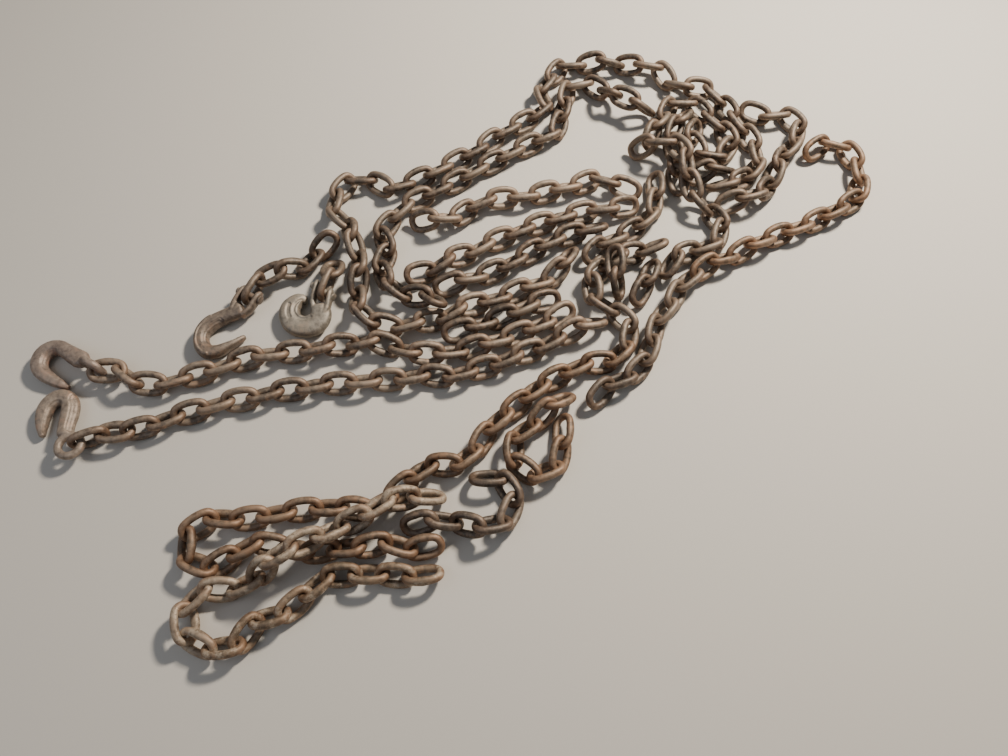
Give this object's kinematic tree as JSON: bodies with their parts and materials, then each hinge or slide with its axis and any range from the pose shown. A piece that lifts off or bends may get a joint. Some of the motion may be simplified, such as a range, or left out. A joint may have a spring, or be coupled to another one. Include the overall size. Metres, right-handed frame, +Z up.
{
  "type": "heap of iron chain",
  "caption": "Heap of rusty welded iron chain with forged slip and grab hooks on its ends, lying in loose rows and loops on the ground.",
  "frame": {"origin": "on the floor under the middle of the heap's bounding box", "axes": "+X along the heap's length, from the end with the hooks towards the heaped end; +Y away from where the picture was taken; +Z up"},
  "size_m": [1.1344, 0.8936, 0.0701],
  "materials": {
    "chain": "matte",
    "hook": "matte"
  },
  "bodies": {
    "root": {"back_row_1": "chain", "back_row_2": "chain", "clevis_grab_chain_1": "chain", "clevis_grab_hook": "hook", "clevis_grab_hook_pin": "hook", "clevis_slip_hook": "hook", "clevis_slip_hook_pin": "hook", "dusty_row_1": "chain", "dusty_row_2": "chain", "eye_grab_hook": "hook", "eye_hook_row_1": "chain", "eye_hook_row_2": "chain", "eye_hook_row_3": "chain", "eye_hook_row_4": "chain", "eye_slip_hook": "hook", "far_loop_1": "chain", "far_loop_2": "chain", "far_loop_3": "chain", "far_loop_inside_1": "chain", "fifth_row_1": "chain", "fourth_row_1": "chain", "fourth_row_2": "chain", "front_loop_back_1": "chain", "front_loop_back_2": "chain", "front_loop_end_1": "chain", "front_loop_middle_1": "chain", "front_row_1": "chain", "front_row_2": "chain", "grab_hook_row_1": "chain", "grab_hook_row_2": "chain", "grab_hook_row_3": "chain", "grab_hook_row_4": "chain", "heap_low_1": "chain", "heap_middle_1": "chain", "heap_top_1": "chain", "heap_top_2": "chain", "left_bend_1": "chain", "middle_row_1": "chain", "middle_row_2": "chain", "near_heap_1": "chain", "near_heap_cross_1": "chain", "near_heap_side_1": "chain", "near_strand_1": "chain", "near_strand_2": "chain", "right_loop_1": "chain", "right_loop_2": "chain", "right_outer_loop_1": "chain", "right_outer_loop_2": "chain", "right_strand_1": "chain", "row_between_1": "chain", "second_back_row_1": "chain", "second_back_row_2": "chain", "second_left_bend_1": "chain", "second_strand_1": "chain", "slip_hook_chain_1": "chain", "standing_run_1": "chain", "standing_run_2": "chain", "steep_run_1": "chain", "third_row_1": "chain", "third_row_2": "chain"}
  },
  "joints": []
}
